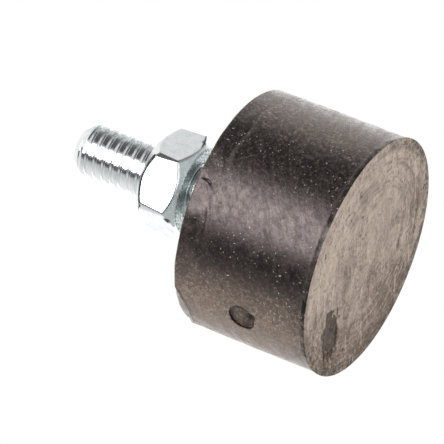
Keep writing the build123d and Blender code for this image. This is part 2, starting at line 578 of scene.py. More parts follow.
@dataclass(frozen=True)
class SatinRubber:
    """Black moulded rubber with a satin skin, fine ripples round it, and dust.

    Colours are linear. The film and the haze are dust coats that also paint the sheen of the grazing
    sides: painted sheen, heavier towards the side that each faces. A dark strip beside the highlight
    is painted shade. The sides are the angles from +X that each coat, the strip or a streak faces, and
    a reach is how far out towards its side a coat or the strip starts and is complete. The streaks'
    cells are how many go to a millimetre along and across them.
    """

    black: Colour = (0.0080, 0.0056, 0.0056)
    film_and_sheen: Colour = (0.232, 0.165, 0.112)
    haze_and_sheen: Colour = (0.205, 0.170, 0.142)
    grain: Colour = (0.40, 0.325, 0.275)
    speck: Colour = (0.92, 0.88, 0.83)
    fibre: Colour = (0.50, 0.39, 0.28)
    sheen: Colour = (1.0, 0.84, 0.82)
    roughness: float = 0.20
    film_and_sheen_side: float = -112.0
    haze_and_sheen_side: float = 40.0
    dark_strip_side: float = -57.0
    film_and_sheen_reach: tuple[float, float] = (7.6, 12.5)
    haze_and_sheen_reach: tuple[float, float] = (9.1, 12.5)
    dark_strip_reach: tuple[float, float] = (11.95, 12.5)
    streak_side: float = -126.0
    streak_lean: float = 37.0
    streak_cells: tuple[float, float] = (0.50, 2.3)
    ripple_depth: float = 0.030

    def streaks(self, b: Bench, place: Wire) -> Wire:
        """Fine streaks that lean across the side, as noise drawn out along their own direction.

        Args:
            b: the material's bench.
            place: coordinates in millimetres.

        Returns:
            The streaks' height.
        """
        (along, across), lean = self.streak_cells, math.radians(self.streak_lean)
        cosine, sine = math.cos(lean), math.sin(lean)
        round_it, up = b.towards(place, self.streak_side), b.split(place)[2]
        drawn = round_it * (along * cosine) + up * (-along * sine)
        packed = round_it * (across * sine) + up * (across * cosine)
        return b.noise(b.joined(drawn, packed), 1.0, 5.0, 0.72, 0.8)

    def litter(self, b: Bench, place: Wire, coated: Wire) -> Wire:
        """Fine dust, a few grains and short fibres both ways, denser in some places and on the dust film and
        haze.

        Args:
            b: the material's bench.
            place: coordinates in millimetres.
            coated: mask of the film and the haze, dust coats that also paint sheen.

        Returns:
            The litter's mask.
        """
        dense = b.remap(b.noise(place, 0.22, 3.0, 0.6), 0.38, 0.62, 0.25, 1.0)
        dust = b.specks(place, 3.3, 0.205, 0.12)
        grains = b.specks(place, 1.15, 0.085, 0.40)
        upright = b.specks(b.stretch(place, (2.8, 2.8, 0.80), 35.0), 1.0, 0.13, 0.36)
        level = b.specks(b.stretch(place, (0.9, 0.9, 3.4), 15.0), 1.0, 0.12, 0.36)
        powder = b.specks(place, 4.4, 0.27, 0.34) * b.remap(coated, 0.0, 0.6, 0.14, 0.62)
        return (dust | grains | upright | level | powder) * dense

    def material(self) -> bpy.types.Material:
        """Builds the finish, which shows the masks lip, shade, recess and chip.

        Returns:
            The material.
        """
        material, b = new_material("satin_rubber")
        place = b.object_mm()
        ripples = self.streaks(b, place)
        grain = b.noise(place, 6.5, 3.0, 0.6)
        cloud = b.noise(place, 0.8, 4.0, 0.65)
        flecks = b.noise(place, 2.2, 4.0, 0.75, 0.6)
        salt = b.noise(place, 3.0, 4.0, 0.85)
        mottle = b.remap(cloud * 0.20 + (flecks * 0.45 + salt * 0.35), 0.40, 0.60, 0.28, 1.12)

        # Painted shade takes off the coats and most of the gloss: the dark band by the lip, the shade mask
        # and the dark strip; the hole's floor loses some of both, painted darker as shade. Elsewhere the
        # coats and the gloss stay, broken up at random.
        broken = b.remap(b.noise(place, 0.45, 3.0, 0.65), 0.40, 0.58, 0.38, 1.0)
        lip_shade = b.mask("lip") * (broken * b.remap(flecks, 0.30, 0.50, 0.72, 1.0))
        # Painted shade: a dark strip along the side beside the highlight
        dark_strip = b.remap(b.towards(place, self.dark_strip_side), *self.dark_strip_reach, 0.0, 0.62)
        painted_shade = lip_shade | b.mask("shade") | dark_strip * b.remap(cloud, 0.35, 0.60, 1.0, 0.75)
        recess = b.mask("recess")
        bare = 1.0 - (painted_shade | recess * 0.72)
        patchy = b.remap(flecks * 0.42 + ripples * 0.36 + cloud * 0.22, 0.39, 0.61, 0.0, 0.55)
        gloss = 1.0 - (painted_shade * 0.88 | patchy | recess * 0.72)

        # Painted sheen: the dust film and haze grow towards the two sides seen at a grazing angle, real dust
        # that also stands in for the sheen there
        film_and_sheen = b.remap(b.towards(place, self.film_and_sheen_side), *self.film_and_sheen_reach, 0.0, 0.95) * mottle
        haze_and_sheen = b.remap(b.towards(place, self.haze_and_sheen_side), *self.haze_and_sheen_reach, 0.02, 0.80) * mottle
        coated = film_and_sheen | haze_and_sheen
        litter = self.litter(b, place, coated)
        colour = b.coats(
            self.black,
            (haze_and_sheen * bare, self.haze_and_sheen),
            (film_and_sheen * bare, self.film_and_sheen),
            (b.remap(salt, 0.48, 0.66, 0.0, 0.34) * bare, self.haze_and_sheen),
            (b.remap(salt, 0.52, 0.64, 0.0, 0.75) * (coated * bare), self.grain),
            (b.specks(place, 1.9, 0.13, 0.22) * 0.8, self.fibre),
            (litter | b.mask("chip"), self.speck),
        )
        low, high = self.roughness - 0.06, self.roughness + 0.10
        rough = b.remap(cloud * 0.5 + ripples * 0.5, 0.38, 0.62, low, high) + coated * 0.22
        normal = b.bump(salt, 0.020, b.bump(ripples, self.ripple_depth))
        normal = b.bump(litter, 0.03, b.bump(grain, 0.008, normal))
        inputs = {
            "Base Color": colour,
            "Roughness": rough | recess * 0.55,
            "Sheen Weight": 0.05,
            "Sheen Roughness": 0.45,
            "Sheen Tint": self.sheen,
            "Specular IOR Level": gloss,
            "Specular Tint": self.sheen,
            "Normal": normal,
        }
        b.end("ShaderNodeOutputMaterial", b.wire("ShaderNodeBsdfPrincipled", inputs))
        return material


@dataclass(frozen=True)
class WornRubber:
    """The scuffed grey-brown face: chalky skin, dark strokes and pits, pale flecks, one torn patch.

    The streaks run at so many degrees to the X axis, and the sides are angles from +X.
    """

    pale: Colour = (0.83, 0.672, 0.560)
    dull: Colour = (0.250, 0.187, 0.144)
    torn: Colour = (0.155, 0.118, 0.092)
    stroke: Colour = (0.060, 0.046, 0.038)
    rust: Colour = (0.23, 0.125, 0.080)
    fleck: Colour = (0.90, 0.77, 0.66)
    specular: Colour = (1.0, 0.90, 0.82)
    streak_turn: float = -8.0
    bright_side: float = -36.0
    dark_side: float = -140.0

    def skin(self, b: Bench, place: Wire) -> tuple[Wire, Wire]:
        """Cloud, scuffs and arcs that follow the rim.

        Args:
            b: the material's bench.
            place: coordinates in millimetres.

        Returns:
            Their height and their colour.
        """
        radius, turn = b.length(place), self.streak_turn
        x, y, _ = b.split(b.stretch(place, (0.13, 0.13, 0.13)))
        arcs = b.noise(b.joined(radius * 1.15, x, y), 1.0, 4.0, 0.7, 0.4)
        swirl = b.noise(b.stretch(place, (0.17, 0.26, 0.26), turn), 1.0, 6.0, 0.66, 2.0)
        scuffs = b.noise(b.stretch(place, (0.75, 1.15, 1.15), turn), 1.0, 5.0, 0.80, 0.6)
        drawn = b.noise(b.stretch(place, (0.10, 0.75, 0.75), turn), 1.0, 4.0, 0.6, 0.3)
        near_rim = b.remap(radius, 4.5, 9.0, 0.0, 0.75)
        broad = b.remap(b.noise(place, 0.20, 2.0, 0.5, 0.8), 0.38, 0.66, -0.055, 0.065)
        height = swirl * 0.42 + scuffs * 0.30 + drawn * 0.28 + (arcs - 0.5) * near_rim + broad
        # The skin is lighter towards bright_side, most near the rim, and darker towards dark_side
        across = b.towards(place, self.bright_side)
        lean = b.remap(across, -13.0, 9.0, 0.05, -0.03) + b.remap(across, 4.0, 11.5, 0.0, -0.20)
        lean = lean + b.remap(b.towards(place, self.dark_side), 1.5, 11.0, 0.0, 0.115)
        lean = lean + b.remap(b.towards(place, self.bright_side + 45.0), 5.5, 12.0, 0.0, -0.05)
        return height, b.tint(b.remap(height + lean, 0.31, 0.71), self.pale, self.dull)

    def material(self) -> bpy.types.Material:
        """Builds the finish, which shows the masks rim and torn.

        Returns:
            The material.
        """
        material, b = new_material("worn_rubber_face")
        place, turn = b.object_mm(), self.streak_turn
        height, skin = self.skin(b, place)
        grain = b.noise(place, 2.6, 5.0, 0.72)
        crowded = b.remap(b.noise(place, 0.30, 3.0, 0.6), 0.43, 0.60, 0.12, 1.0)
        mottle = b.noise(b.stretch(place, (0.8, 1.7, 1.7), turn), 1.0, 5.0, 0.85, 0.5)
        low = b.remap(b.towards(place, self.dark_side), 2.0, 11.0)
        rusty = b.remap(b.noise(place, 1.3, 4.0, 0.7), 0.46, 0.64, 0.06, 0.55)
        scratches = b.specks(b.stretch(place, (0.24, 2.1, 1.0), turn), 1.0, 0.26, 0.35)
        drawn = b.specks(b.stretch(place, (0.10, 1.5, 1.0), turn + 4.0), 1.0, 0.27, 0.36)
        strokes = b.specks(b.stretch(place, (0.45, 1.3, 1.0), turn), 1.0, 0.27, 0.40)
        pits = b.specks(b.stretch(place, (1.3, 1.9, 1.0), turn), 1.0, 0.25, 0.36)
        worn = b.mask("rim") * b.remap(b.noise(place, 0.9, 4.0, 0.7), 0.42, 0.60)
        worn = worn * b.remap(b.towards(place, self.bright_side), 2.0, 9.0, 1.0, 0.25)
        dark = (strokes | pits) * b.remap(grain, 0.42, 0.55, 0.35, 0.95) * crowded | worn * 0.75
        ragged = b.remap(b.mask("torn") + (grain - 0.5) * 0.8, 0.42, 0.58)
        colour = b.coats(
            skin,
            (b.remap(grain, 0.52, 0.67, 0.0, 0.95) * crowded, self.torn),
            (b.remap(grain, 0.48, 0.34, 0.0, 0.60), self.fleck),
            (b.remap(mottle, 0.49, 0.65, 0.0, 0.55), self.dull),
            (b.remap(b.noise(place, 0.33, 4.0, 0.7), 0.60, 0.74, 0.0, 0.40), self.rust),
            (low * rusty, self.rust),
            (scratches * 0.80, self.fleck),
            (drawn * b.remap(grain, 0.56, 0.44, 0.25, 0.75), self.fleck),
            (dark, self.stroke),
            (ragged * 0.9, b.tint(b.remap(grain, 0.4, 0.7), self.torn, self.stroke)),
            (b.specks(place, 1.5, 0.12, 0.42) * 0.9, self.fleck),
        )
        inputs = {
            "Base Color": colour,
            "Roughness": b.remap(grain, 0.3, 0.7, 0.50, 0.78),
            "Specular IOR Level": 0.15,
            "Specular Tint": self.specular,
            "Normal": b.bump(dark, -0.12, b.bump(height, 1.1, b.bump(grain, 0.30))),
        }
        b.end("ShaderNodeOutputMaterial", b.wire("ShaderNodeBsdfPrincipled", inputs))
        return material


@dataclass(frozen=True)
class ZincPlate:
    """Bright blue-white zinc on steel, with a fine mottle from the bath and a dull smear of rubber."""

    metal: Colour = (0.86, 0.88, 0.88)
    stain: Colour = (0.68, 0.72, 0.73)
    grey: Colour = (0.26, 0.30, 0.30)
    bright: Colour = (0.80, 0.84, 0.85)
    smear: Colour = (0.34, 0.30, 0.265)
    grime: Colour = (0.030, 0.034, 0.034)
    roughness: float = 0.13
    mottle: float = 0.006
    pitting: float = 0.0003

    def material(self) -> bpy.types.Material:
        """Builds the finish, which shows the masks dull, smear and grime.

        Returns:
            The material.
        """
        material, b = new_material("zinc_plate")
        place, dull = b.object_mm(), b.mask("dull")
        cloud = b.noise(place, 0.9, 4.0, 0.6)
        grain = b.noise(place, 9.0, 3.0, 0.6)
        crystals = b.noise(place, 4.2, 3.0, 0.7)
        waves = b.noise(place, 1.1, 2.0, 0.5)
        wear = b.remap(cloud * 0.6 + grain * 0.4, 0.46, 0.68)
        smear = b.mask("smear") * b.remap(cloud, 0.30, 0.55, 0.75, 1.0)
        grime = b.mask("grime") * b.remap(crystals, 0.35, 0.50, 0.80, 1.0)
        matt = b.tint(b.remap(crystals, 0.47, 0.60), self.grey, self.bright)
        coats = (wear, self.stain), (dull, matt), (smear, self.smear), (grime, self.grime)
        low, high = self.roughness - 0.04, self.roughness + 0.08
        rough = b.remap(grain, 0.3, 0.7, low, high) + dull * 0.16 + smear * 0.45
        pocked = b.bump(crystals * dull, 0.045)
        inputs = {
            "Base Color": b.coats(self.metal, *coats),
            "Metallic": 1.0 - smear,
            "Roughness": rough,
            "Normal": b.bump(waves, self.mottle, b.bump(grain, self.pitting, pocked)),
        }
        b.end("ShaderNodeOutputMaterial", b.wire("ShaderNodeBsdfPrincipled", inputs))
        return material


# --------------------------------------------------------------------------- pieces


@dataclass(frozen=True)
class Span:
    """The radius and the two heights of a CAD node, in millimetres."""

    radius: float
    low: float
    high: float

    @classmethod
    def of(cls, node: str) -> "Span":
        """Reads a CAD node's box."""
        low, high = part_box(node)
        return cls(high.x / MM, low.z / MM, high.z / MM)


def finished(
    mesh: bpy.types.Mesh, materials: Sequence[bpy.types.Material], node: str
) -> bpy.types.Object:
    """Puts a mesh in the scene as the piece that stands for a CAD node.

    Args:
        mesh: the finished mesh, in place.
        materials: in the order of the mesh's material numbers.
        node: the CAD node it stands for.

    Returns:
        The piece.
    """
    for material in materials:
        mesh.materials.append(material)
    piece = bpy.data.objects.new(mesh.name, mesh)
    bpy.context.scene.collection.objects.link(piece)
    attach(piece, "root")
    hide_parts(node)
    log.info("%s: %d faces", piece.name, len(mesh.polygons))
    return piece


@dataclass
class RubberBody:
    """The moulded cylinder: worn face, lip, side with gate hole, trimmed rim, and inner pocket.

    Angles are in degrees from +X. A gate pit is its place across and up from the hole's axis, its
    width, and its share of the depth. The gate's rings say where the curves that end its floor and
    its wall lie, as shares of the way from the axis to the edge of its patch.
    """

    lip_proud: float = 0.12
    lip_low: float = 0.15
    lip_height: float = 0.75
    plate_skin: float = 0.30
    plate_thickness: float = 2.0
    head_radius: float = 5.5
    head_height: float = 2.2
    head_chamfer: float = 0.4
    rim_chamfer: float = 0.12
    gate_angle: float = -90.0
    gate_height: float = 7.25
    gate_radius: float = 1.45
    gate_depth: float = 0.35
    gate_floor_round: float = 0.12
    gate_mouth_round: float = 0.05
    gate_oval: float = 1.13
    gate_rings: tuple[float, ...] = (0.30, 0.40, 0.47, 0.55)
    gate_pits: tuple[tuple[float, ...], ...] = ((0.56, -1.12, 0.32, 1.0), (0.20, -0.95, 0.18, 0.6))
    gate_pit_depth: float = 0.75
    gate_patch: float = 3.0
    gate_cells: int = 30
    rows_below: int = 16
    rows_above: int = 12
    chip_angle: float = 2.0
    wave_depths: tuple[float, float] = (0.020, 0.008)
    crease_angle: float = -26.0
    crease_depth: float = 0.095
    crease_width: float = 0.26
    lumps_angle: float = -36.0
    lump_depths: tuple[float, float] = (0.110, 0.030)
    crack_angle: float = -30.8
    crack_height: float = 13.85
    crack_depth: float = 0.25
    crack_size: tuple[float, float] = (0.52, 0.075)
    trim_angle: float = -105.5
    trim_half_width: float = 20.5
    trim_height: float = 1.30
    torn_middle: tuple[float, float] = (-3.422387, -7.772855)
    torn_size: tuple[float, float] = (3.3, 1.55)
    torn_lean: float = 8.0
    torn_depth: float = 0.16
    span: Span = field(default_factory=lambda: Span.of("rubber_body"))

    def __post_init__(self) -> None:
        """Works out the radius of the side and the heights that the profile turns at."""
        self.radius = self.span.radius - self.lip_proud
        self.plate_radius = self.radius - self.plate_skin
        self.plate_low = self.span.high - self.plate_thickness
        self.head_low = self.plate_low - self.head_height

    def angles(self) -> Array:
        """Meridians: even across the gate patch, finer at the crack and over the trimmed arc.

        Returns:
            Their angles in radians.
        """
        reach = math.degrees(self.gate_patch / self.radius)
        first, last = self.gate_angle - reach, self.gate_angle + reach
        patch = np.linspace(first, last, 2 * self.gate_cells + 1)
        marks = ((self.crack_angle, 3.5, 5.0), (first + 340.0, 15.0, 0.9))
        rest = graded(last, first + 360.0, 300, marks)
        return np.radians(np.concatenate((patch, rest[1:-1])))

    def side_heights(self) -> Array:
        """Rows on the plain side: even across the gate patch.

        Returns:
            Their heights.
        """
        low, high = self.gate_height - self.gate_patch, self.gate_height + self.gate_patch
        patch = np.linspace(low, high, 2 * self.gate_cells + 1)
        below = np.linspace(self.lip_height, low, self.rows_below + 1)
        above = np.linspace(high, self.plate_low - 0.6, self.rows_above + 1)
        return np.concatenate((below[:-1], patch, above[1:]))

    def trim_line(self, angle: Array) -> tuple[Array, ...]:
        """Where the knife slice starts on the side and ends on the rim or the plate.

        The slice is a plane that drops trim_height from the top of the rubber over the inset of its
        chord. On a meridian, its distance along the slice's own direction is radius times the cosine
        of the angle from it.

        Args:
            angle: meridian angles in radians.

        Returns:
            Height on the side, then radius and height of the inner end.
        """
        top, bevel = self.span.high, self.rim_chamfer
        inset = self.radius * (1 - math.cos(math.radians(self.trim_half_width)))
        slope = self.trim_height / inset
        across = np.cos(angle - math.radians(self.trim_angle))
        side_z = np.minimum(top - slope * (self.radius * across - self.radius + inset), top - bevel)
        inner = (self.radius - inset) / np.maximum(across, 0.2)
        end_r = np.clip(inner, self.plate_radius + 2 * LEAST_STEP, self.radius - bevel)
        end_z = np.minimum(top - slope * (end_r * across - self.radius + inset), top)
        return side_z, end_r, end_z

    def outline(self, angle: Array) -> tuple[Array, Array]:
        """The section at every meridian, from the middle of the face to the floor of the pocket.

        It also notes how many rows lie on the face, and the row that the plain side starts at.

        Args:
            angle: meridian angles in radians.

        Returns:
            Radius and height of every grid point, and the material number of every row of cells.
        """
        side_z, end_r, end_z = self.trim_line(angle)
        heights = self.side_heights()
        start, stop = heights[0], heights[-1]
        stops = (
            (0, 0),
            (self.radius + self.lip_proud, 0),
            (self.radius + self.lip_proud, self.lip_low),
            (self.radius, start),
            (self.radius, stop),
            (self.radius, side_z),
            (end_r, end_z),
            (np.minimum(end_r - LEAST_STEP, self.plate_radius + LEAST_STEP), end_z),
            (self.plate_radius, self.plate_low),
            (self.head_radius, self.plate_low),
            (self.head_radius, self.head_low + self.head_chamfer),
            (self.head_radius - self.head_chamfer, self.head_low),
            (0, self.head_low),
        )
        trims = (0.14, 0.10, 0.0, 0.0, 0.05, 0.05, 0.01, 0.05, 0.05, 0.05, 0.05)
        turns = (4, 2, 0, 0, 3, 3, 1, 1, 1, 1, 1)
        face = graded(0.0, 1.0, 86, [(0.72, 0.25, 0.6)])
        side = (heights - start) / (stop - start)
        over_plate = graded(0.0, 1.0, 26, [(0.2, 0.2, 0.6), (0.66, 0.10, 2.0)])
        lower = (face, even(1), even(5), side, over_plate)
        path = rounded_path(
            corner_columns(len(angle), stops),
            trims,
            turns,
            (*lower, *(even(cells) for cells in (8, 1, 4, 4, 2, 1, 3))),
        )
        self.face_rows = len(face)
        self.side_start = sum(len(run) - 1 for run in lower[:3]) + sum(turns[:2])
        groups = np.zeros(path.shape[1] - 1, int)
        groups[: self.face_rows + 2] = 1
        return path, groups

    def gate_profile(self, ring: Array) -> tuple[Array, Array]:
        """Section through the gate hole along the rings of its patch.

        The floor is flat, a quadratic curve leads into the wall, and another leads from the wall out
        on to the side.

        Args:
            ring: 0 in the middle of the patch and 1 at its edge.

        Returns:
            Distance from the hole's axis in millimetres, and share of the full depth.
        """
        mouth, round_in, round_out = self.gate_radius, self.gate_floor_round, self.gate_mouth_round
        t = even(6)
        sunk, lip = round_in / self.gate_depth, round_out / self.gate_depth
        inner, outer = bend(mouth - round_in, mouth, mouth, t), bend(mouth, mouth, mouth + round_out, t)
        inner_f, outer_f = bend(1.0, 1.0, 1.0 - sunk, t), bend(lip, 0.0, 0.0, t)
        floor_end, wall_low, wall_high, mouth_end = self.gate_rings
        curves = floor_end + (wall_low - floor_end) * t, wall_high + (mouth_end - wall_high) * t
        marks = np.concatenate(([0.0], *curves))
        far = np.interp(ring, marks, np.concatenate(([0.0], inner, outer)))
        share = np.interp(ring, marks, np.concatenate(([1.0], inner_f, outer_f)))
        return far, share

    def sink_gate(self, radius: Array, height: Array, angle: Array) -> tuple[Array, Array]:
        """Draws the grid of the gate patch into rings and sinks the hole.

        A patch point's ring is the larger of its two shares of the patch's half width. Inside the
        mouth it moves to the ring's radius in its own direction. Outside, it runs in a straight line
        from the mouth to the patch's edge. The floor is a plane at right angles to the hole's axis,
        and a pit is a bell of the distance from its own place.

        Args:
            radius: grid radii, changed in place.
            height: grid heights, changed in place.
            angle: grid angles, changed in place.

        Returns:
            Mask of the hole, 1 inside it, which also paints its floor darker as shade, most at its
            lower end, and mask of the painted shade on its wall, in its pits and in a painted shadow
            along the floor by one side of its mouth.
        """
        size = 2 * self.gate_cells + 1
        first = self.side_start + self.rows_below
        block = (slice(0, size), slice(first, first + size))
        steps = np.linspace(-1.0, 1.0, size)
        across, up = np.meshgrid(steps, steps, indexing="ij")
        ring = np.maximum(np.abs(across), np.abs(up))
        length = np.maximum(np.hypot(across, up), 1e-9)
        far, share = self.gate_profile(ring)
        edge = self.gate_rings[-1]
        out = np.clip((ring - edge) / (1 - edge), 0.0, 1.0)
        far = np.where(ring <= edge, far, self.gate_radius + self.gate_mouth_round)
        rounded, square = far / length * (1 - out), self.gate_patch / np.maximum(ring, 1e-9) * out
        x, z = across * (self.gate_oval * rounded + square), up * (rounded + square)
        turn = x / self.radius
        floor = (self.radius - self.gate_depth) / np.cos(turn)
        pits = sum(part * bell(np.hypot(x - px, z - pz), wide) for px, pz, wide, part in self.gate_pits)
        angle[block] = math.radians(self.gate_angle) + turn
        height[block] = self.gate_height + z
        radius[block] = self.radius - share * (self.radius - floor) - self.gate_pit_depth * pits
        recess, shade = np.zeros_like(radius), np.zeros_like(radius)
        # Painted shade: the hole's floor loses dust and gloss, most at its lower end
        recess[block] = np.clip(share * 1.6, 0, 1) * (0.68 + 0.32 * ease(0.7, -0.7, z))
        # Painted shade on the wall and in the pits, and a painted shadow on the floor along one side
        wall = ease(0.10, 0.30, share) * ease(0.995, 0.90, share)
        under = 0.85 * ease(0.55, 1.12, x + 0.15 * np.abs(z)) * (share > 0.1)
        shade[block] = np.maximum(np.maximum(wall, under), ease(0.03, 0.22, pits))
        return recess, shade

    def weather_side(self, radius: Array, height: Array, angle: Array) -> Array:
        """Adds the side's low waves, the crease over the plate, and the crack beside it.

        Every term is a bell or an eased step of height and angle, times a drifting random field.

        Args:
            radius: grid radii, changed in place.
            height: grid heights.
            angle: grid angles.

        Returns:
            Mask of painted shade: in the crack, along the slice's lower edge, and in patches over
            the plate that dim the highlight there.
        """
        top, plate_low = self.span.high, self.plate_low
        row = np.arange(radius.shape[1])[None, :]
        on_side = (row >= self.side_start - 2) & (radius > self.plate_radius + 0.1)
        around = swept(np.full_like(radius, self.radius), height, angle)
        broad, fine = self.wave_depths
        wave = broad * drift(around, 4.2, 3) + fine * drift(around, 1.3, 4)
        broken = 0.5 + 0.5 * drift(around, 2.2, 9)
        broken *= 0.35 + 0.65 * bell(angle - math.radians(self.crease_angle), 0.7)
        crease_rise = height - plate_low + 0.3 - 0.40 * drift(around, 2.6, 8)
        crease = -self.crease_depth * broken * bell(crease_rise, self.crease_width)

        # Over the plate the skin leans in and is lumpy, most of all on one side
        band = ease(plate_low - 0.5, plate_low + 0.4, height)
        front = bell(angle - math.radians(self.lumps_angle), 0.95)
        lean = -0.05 * front * ease(plate_low, top, height)
        broad, fine = self.lump_depths
        bumps = broad * drift(around, 1.8, 5) + fine * drift(around, 0.7, 6) - 0.07
        lumps = band * (0.3 + 0.7 * front) * bumps

        # The crack is a short bow, with its own two directions down and aside
        along = (angle - math.radians(self.crack_angle)) * self.radius
        rise = height - self.crack_height
        down = 0.92 * rise + 0.40 * along
        aside = 0.92 * along - 0.40 * rise - 0.13 + 0.55 * down**2
        long, wide = self.crack_size
        crack = bell(aside, wide) * bell(down, long)

        relief = np.maximum(wave + crease + lean + lumps, 0.05 - self.plate_skin)
        radius += np.where(on_side, relief - self.crack_depth * crack, 0.0)
        np.minimum(radius, self.span.radius - LEAST_STEP / 2, out=radius)
        # Painted shade: patches over the plate that dim the highlight, a dark line along the slice's lower
        # edge, and the inside of the crack
        shaded_patches = 0.42 * band * np.clip(0.55 + 0.9 * drift(around, 1.3, 17), 0.0, 1.0)
        cut_z = self.trim_line(angle)[0]
        sliced = ease(top - self.rim_chamfer, top - 0.3, cut_z)
        cut_edge = 0.95 * sliced * bell(height - cut_z + 0.05, 0.13)
        marks = np.maximum(np.maximum(shaded_patches, cut_edge), ease(0.25, 0.7, crack))
        return np.where(on_side, marks, 0.0)

    def weather_face(self, points: Array) -> Array:
        """Presses scuffs, pits and the torn patch into the face, which lies in the plane of height 0.

        Heights only rise, into the rubber. The torn patch is an eased step of a long ellipse whose
        edge wanders with a drifting field.

        Args:
            points: the grid, changed in place.

        Returns:
            Mask of the torn patch.
        """
        rows = slice(0, self.face_rows)
        x, y = points[:, rows, 0], points[:, rows, 1]
        lean = math.radians(self.torn_lean)
        cosine, sine = math.cos(lean), math.sin(lean)
        long, wide = x * cosine + y * sine, y * cosine - x * sine
        plain = np.stack((long, wide, np.zeros_like(long)), axis=-1)
        flat = plain * (0.28, 1.0, 1.0)
        shallow = 0.05 * np.clip(drift(flat, 0.9, 11) - 0.15, 0, None)
        scuff = shallow + 0.03 * np.clip(drift(flat, 0.45, 12) - 0.3, 0, None)
        middle_x, middle_y = self.torn_middle
        off_long = long - (middle_x * cosine + middle_y * sine)
        off_wide = wide - (middle_y * cosine - middle_x * sine)
        wander = 0.36 * drift(flat, 0.34, 13) + 0.16 * drift(plain, 0.4, 14)
        reach = np.hypot(off_long / self.torn_size[0], off_wide / self.torn_size[1]) + wander
        mask = np.zeros(points.shape[:2])
        mask[:, rows] = ease(1.10, 0.84, reach)
        fade = ease(self.radius, self.radius - 1.2, np.hypot(x, y))
        points[:, rows, 2] += fade * scuff + self.torn_depth * mask[:, rows]
        return mask

    def build(self, side: SatinRubber, face: WornRubber) -> bpy.types.Object:
        """Builds and dresses the body.

        Args:
            side: finish of everything but the face.
            face: finish of the worn end face.

        Returns:
            The piece.
        """
        angles = self.angles()
        path, groups = self.outline(angles)
        radius, height = path[..., 0].copy(), path[..., 1].copy()
        angle = np.repeat(angles[:, None], path.shape[1], axis=1)
        recess, shade = self.sink_gate(radius, height, angle)
        dim = self.weather_side(radius, height, angle)
        points = swept(radius, height, angle)
        torn = self.weather_face(points)
        mesh = grid_mesh("rubber_cylinder", points, Side.POLE, groups)
        out, low = radius > self.radius - 0.06, height < self.lip_height + 0.05
        # lip: painted shade, a dark band on the side next to the face that fades upwards
        lip = np.maximum(ease(self.lip_height, self.lip_height - 0.25, height), 0.45 * ease(2.6, 0.6, height))
        chip_across = (angle - math.radians(self.chip_angle)) * self.radius
        chip_far = np.hypot(chip_across, height - self.span.high + 0.12) + 0.06 * drift(points, 0.15, 31)
        # shade is painted shade from the gate and the side; recess also paints the hole's floor darker
        masks = {
            "recess": recess,
            "shade": np.maximum(shade, dim),
            "torn": torn,
            "lip": np.where(out, lip, 0.0),
            "chip": ease(0.22, 0.10, chip_far) * out,
            "rim": np.where(low, ease(self.radius - 1.6, self.radius - 0.2, radius), 0.0),
        }
        for name, values in masks.items():
            add_mask(mesh, name, values, Side.POLE)
        return finished(mesh, (side.material(), face.material()), "rubber_body")


@dataclass
class EndPlate:
    """The blanked steel disc that closes the rubber at the stud's end."""

    edge_chamfer: float = 0.05
    hole_radius: float = 2.92
    meridians: int = 180
    span: Span = field(default_factory=lambda: Span.of("end_plate"))

    def build(self, finish: bpy.types.Material) -> bpy.types.Object:
        """Builds and dresses the plate.

        Args:
            finish: its material.

        Returns:
            The piece.
        """
        s, hole, bevel = self.span, self.hole_radius, self.edge_chamfer
        angles = np.linspace(0, 2 * math.pi, self.meridians, endpoint=False)
        upper = ((s.radius, s.high - bevel), (s.radius - bevel, s.high), (hole, s.high))
        section = ((hole, s.low), (s.radius, s.low), *upper, (hole, s.low))
        corners = corner_columns(self.meridians, section)
        runs = (even(8), even(12), even(1), even(50), even(3))
        path = rounded_path(corners, (0.04, 0.02, 0.02, 0.06), (2, 2, 2, 2), runs)[:, :-1]
        radius, height = path[..., 0], path[..., 1]
        points = swept(radius, height, angles[:, None])
        on_top = ease(s.high - 0.05, s.high - 0.01, height) * ease(s.radius - 0.3, s.radius - 1.0, radius)
        points[..., 2] -= on_top * (0.012 + 0.012 * drift(points, 3.0, 21))
        mesh = grid_mesh("steel_end_plate", points, Side.LOOP, np.zeros(path.shape[1], int))
        on_rim = ease(s.radius - 0.05, s.radius - 0.02, radius) * ease(s.high - 0.03, s.high - 0.22, height)
        add_mask(mesh, "smear", on_rim, Side.LOOP)
        add_mask(mesh, "dull", np.where(on_rim > 0.5, 0.0, 0.8), Side.LOOP)
        return finished(mesh, (finish,), "end_plate")


@dataclass(frozen=True)
class Thread:
    """A right-hand thread with broad crests and narrow grooves, as a radius at every place."""

    crest: float = 2.88
    depth: float = 0.33
    pitch: float = 1.0
    phase: float = 0.08
    crest_share: float = 0.55
    root_share: float = 0.08

    def radius(self, angle: Array, height: Array) -> Array:
        """Radius of the thread's surface.

        The distance from the nearest crest, in pitches, is the height over the pitch less the angle
        over a full turn, folded to between 0 and one half. The surface is flat on the crest and in
        the root and straight on the flanks between them, with the corners eased.

        Args:
            angle: in radians.
            height: in millimetres.

        Returns:
            The radius in millimetres.
        """
        turn = height / self.pitch + self.phase - angle / (2 * math.pi)
        away = np.abs(turn - np.round(turn))
        flank = (1.0 - self.crest_share - self.root_share) / 2
        share = np.clip((away - self.crest_share / 2) / flank, 0.0, 1.0)
        return self.crest - self.depth * (0.8 * share + 0.2 * ease(0.0, 1.0, share))


